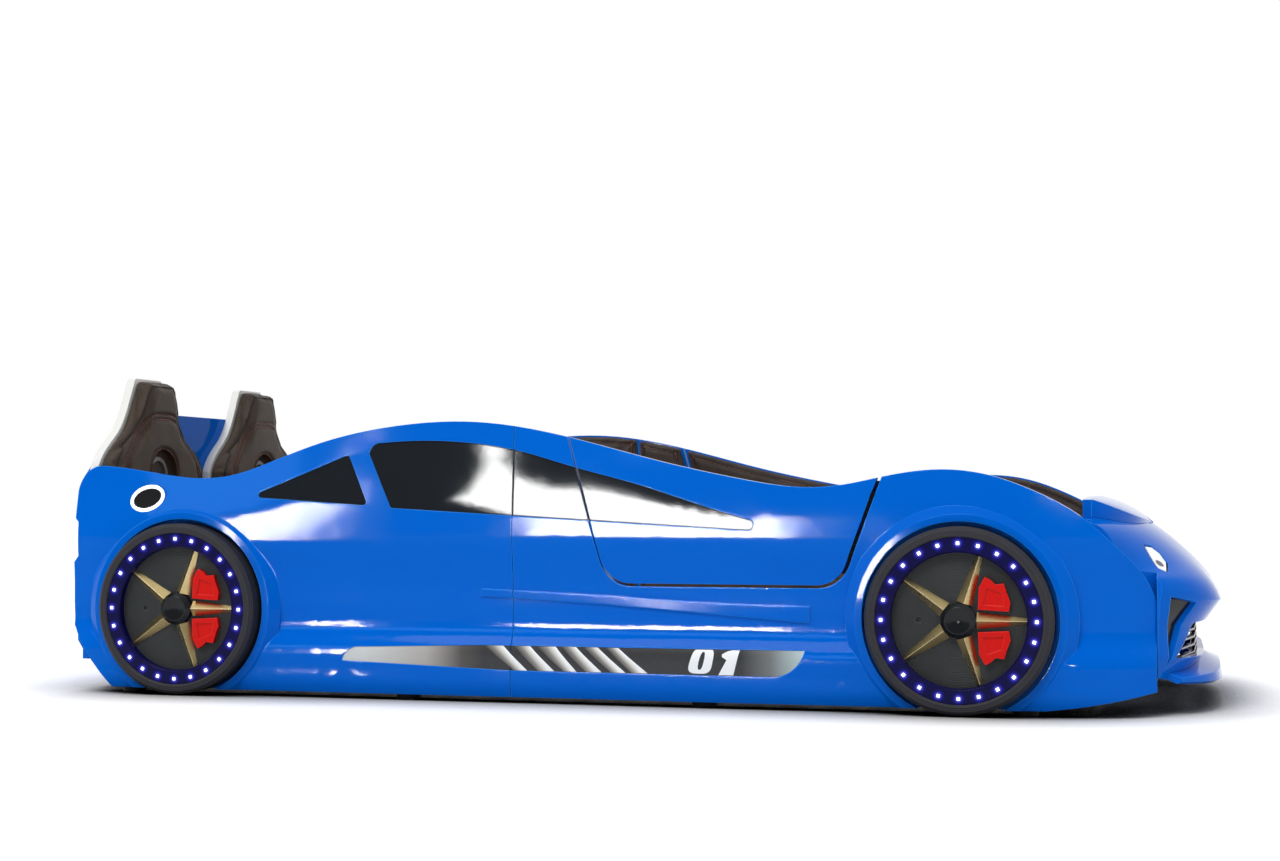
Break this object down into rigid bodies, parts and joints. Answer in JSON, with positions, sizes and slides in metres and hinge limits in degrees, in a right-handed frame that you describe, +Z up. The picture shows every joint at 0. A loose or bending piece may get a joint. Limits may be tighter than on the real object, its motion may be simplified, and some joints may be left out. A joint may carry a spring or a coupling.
{
  "type": "children's car bed",
  "caption": "Race car shaped single bed for a child with opening doors, lit show wheels, a slatted base and racing seat headboards.",
  "frame": {"origin": "on the floor under the middle of the bounding box", "axes": "+X to the nose of the car (foot end), +Y to the car's left side, +Z up"},
  "size_m": [2.354, 1.08, 0.6722],
  "materials": {
    "blue_shell": "glossy saturated blue moulded shell",
    "black_gloss": "black glossy panel",
    "glazing": "dark opaque glossy window panel",
    "leather": "dark brown upholstery leather over foam",
    "seat_white": "white seat back shell",
    "seal_rubber": "black rubber seal strip",
    "tyre_black": "matt black moulded tyre",
    "light_ring": "dark navy translucent light ring",
    "led": "white lamp lens",
    "disc_grey": "dark grey moulded disc",
    "gold": "pale gold plated spokes",
    "caliper_red": "red moulded caliper",
    "chrome_trim": "bright trim",
    "strip_decal": "black strip with silver bars and plain number",
    "lamp_white": "white headlight lens",
    "speaker_grey": "grey speaker ring",
    "speaker_black": "black speaker cone",
    "board": "melamine faced board",
    "slat_wood": "beech slat",
    "foot_plastic": "black plastic foot",
    "zinc_steel": "zinc plated steel",
    "box_grey": "dark grey plastic box"
  },
  "bodies": {
    "bed": {"badge_domes": "black_gloss", "badge_rings": "chrome_trim", "bed_rails": "board", "bracket_bolts": "zinc_steel", "calipers": "caliper_red", "centre_beam": "slat_wood", "centre_legs": "foot_plastic", "control_box": "box_grey", "corner_brackets": "zinc_steel", "door_seals": "seal_rubber", "feet": "foot_plastic", "foot_board": "blue_shell", "grille": "black_gloss", "headboard": "blue_shell", "headlight_bezels": "black_gloss", "headlight_lenses": "lamp_white", "hinge_frame_leaves": "zinc_steel", "hinge_pins": "zinc_steel", "hood": "blue_shell", "hub_caps": "black_gloss", "inner_pad_front_left": "leather", "inner_pad_front_right": "leather", "inner_pad_rear_left": "leather", "inner_pad_rear_right": "leather", "intake_liners": "black_gloss", "leds": "led", "light_rings": "light_ring", "middle_window_left": "glazing", "middle_window_right": "glazing", "nose_shell": "blue_shell", "quarter_windows": "glazing", "rear_window_left": "glazing", "rear_window_right": "glazing", "seat_pad_left": "leather", "seat_pad_right": "leather", "seat_shells": "seat_white", "side_front_left": "blue_shell", "side_front_right": "blue_shell", "side_rear_left": "blue_shell", "side_rear_right": "blue_shell", "sill_strips": "strip_decal", "slats": "slat_wood", "speaker_cones": "speaker_black", "speaker_rings": "speaker_grey", "splitter": "blue_shell", "spokes": "gold", "tail_panel": "blue_shell", "tyre_front_left": "tyre_black", "tyre_front_right": "tyre_black", "tyre_rear_left": "tyre_black", "tyre_rear_right": "tyre_black", "wheel_discs": "disc_grey"},
    "door_r": {"door_right": "blue_shell", "door_window_right": "glazing", "door_pad_right": "leather", "hinge_door_leaves_right": "zinc_steel"},
    "door_l": {"door_left": "blue_shell", "door_window_left": "glazing", "door_pad_left": "leather", "hinge_door_leaves_left": "zinc_steel"}
  },
  "joints": [
    {"name": "door_right_hinge", "type": "hinge", "parent": "bed", "child": "door_r", "pos_m": [0.50812, -0.493, 0.35], "axis": [0.3437, 0, 0.9391], "range_deg": [0, 65]},
    {"name": "door_left_hinge", "type": "hinge", "parent": "bed", "child": "door_l", "pos_m": [0.50812, 0.493, 0.35], "axis": [-0.3437, 0, -0.9391], "range_deg": [0, 65]}
  ]
}
